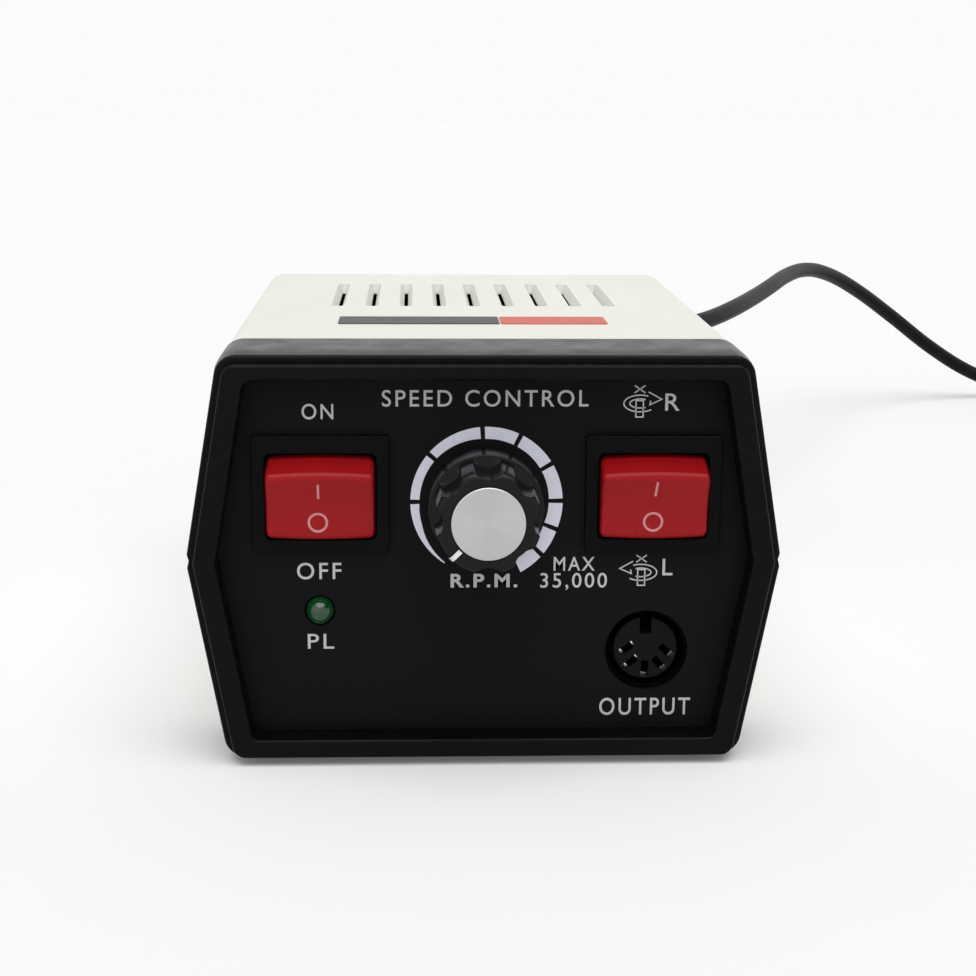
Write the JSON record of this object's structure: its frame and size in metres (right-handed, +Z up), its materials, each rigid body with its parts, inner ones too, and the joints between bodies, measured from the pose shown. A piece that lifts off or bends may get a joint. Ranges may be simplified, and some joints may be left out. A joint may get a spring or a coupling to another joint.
{
  "type": "micromotor control box",
  "caption": "Bench control box for a dental and jewellery micromotor polisher: rocker switches, speed dial, lamp, handpiece socket and mains lead.",
  "frame": {"origin": "on the surface the box stands on, at the middle of its length and width without the mains lead", "axes": "+Z up, -Y out of the front face with the controls, +X to the right seen from the front"},
  "size_m": [0.3467, 0.3965, 0.0727],
  "materials": {
    "cream_plastic": "fine satin",
    "black_plastic": "satin",
    "black_panel": "matte",
    "red_rocker": "gloss",
    "brushed_aluminium": "brushed",
    "green_lens": "clear gloss",
    "grey_insulator": "matte",
    "steel": "plated",
    "brass": "plated",
    "rubber": "matte",
    "core_iron": "varnished laminations",
    "winding_tape": "tape",
    "board_green": "solder mask",
    "capacitor_sleeve": "sleeve",
    "fuse_glass": "clear",
    "cord_pvc": "soft satin"
  },
  "bodies": {
    "case": {"top_cover": "cream_plastic", "bottom_case": "cream_plastic", "front_bezel": "black_plastic", "rear_panel": "black_plastic", "power_switch_body": "black_plastic", "direction_switch_body": "black_plastic", "lamp_clip": "black_plastic", "fuse_holder": "black_plastic", "fuse_nut": "black_plastic", "fuse_cap": "black_plastic", "foot_jack": "black_plastic", "rectifier": "black_plastic", "power_transistor": "black_plastic", "front_panel": "black_panel", "heat_sink": "brushed_aluminium", "pilot_lens": "green_lens", "output_socket_insert": "grey_insulator", "case_screw_1": "steel", "case_screw_2": "steel", "case_screw_3": "steel", "case_screw_4": "steel", "dial_washer": "steel", "dial_nut": "steel", "potentiometer": "steel", "output_socket_shell": "steel", "foot_jack_nut": "steel", "transformer_bracket": "steel", "bracket_screw_1": "steel", "bracket_screw_2": "steel", "board_screw_1": "steel", "board_screw_2": "steel", "board_screw_3": "steel", "board_screw_4": "steel", "output_contact_1": "brass", "output_contact_2": "brass", "output_contact_3": "brass", "output_contact_4": "brass", "output_contact_5": "brass", "plug_pin_1": "brass", "plug_pin_2": "brass", "rubber_foot_1": "rubber", "rubber_foot_2": "rubber", "rubber_foot_3": "rubber", "rubber_foot_4": "rubber", "strain_relief": "rubber", "cord_tie": "rubber", "transformer_core": "core_iron", "transformer_winding": "winding_tape", "circuit_board": "board_green", "capacitor": "capacitor_sleeve", "fuse_link": "fuse_glass", "mains_cord": "cord_pvc", "cord_coil": "cord_pvc", "plug_body": "cord_pvc"},
    "power_rocker": {"power_rocker": "red_rocker"},
    "direction_rocker": {"direction_rocker": "red_rocker"},
    "speed_dial": {"speed_knob": "black_plastic", "knob_cap": "brushed_aluminium", "pot_shaft": "brushed_aluminium"}
  },
  "joints": [
    {"name": "power_switch", "type": "hinge", "parent": "case", "child": "power_rocker", "pos_m": [-0.0283, -0.05585, 0.0476], "axis": [-1, 0, 0], "range_deg": [0, 24]},
    {"name": "direction_switch", "type": "hinge", "parent": "case", "child": "direction_rocker", "pos_m": [0.0291, -0.05585, 0.0476], "axis": [-1, 0, 0], "range_deg": [0, 24]},
    {"name": "speed_control", "type": "hinge", "parent": "case", "child": "speed_dial", "pos_m": [0, -0.06245, 0.0465], "axis": [0, 1, 0], "range_deg": [-15, 285]}
  ]
}
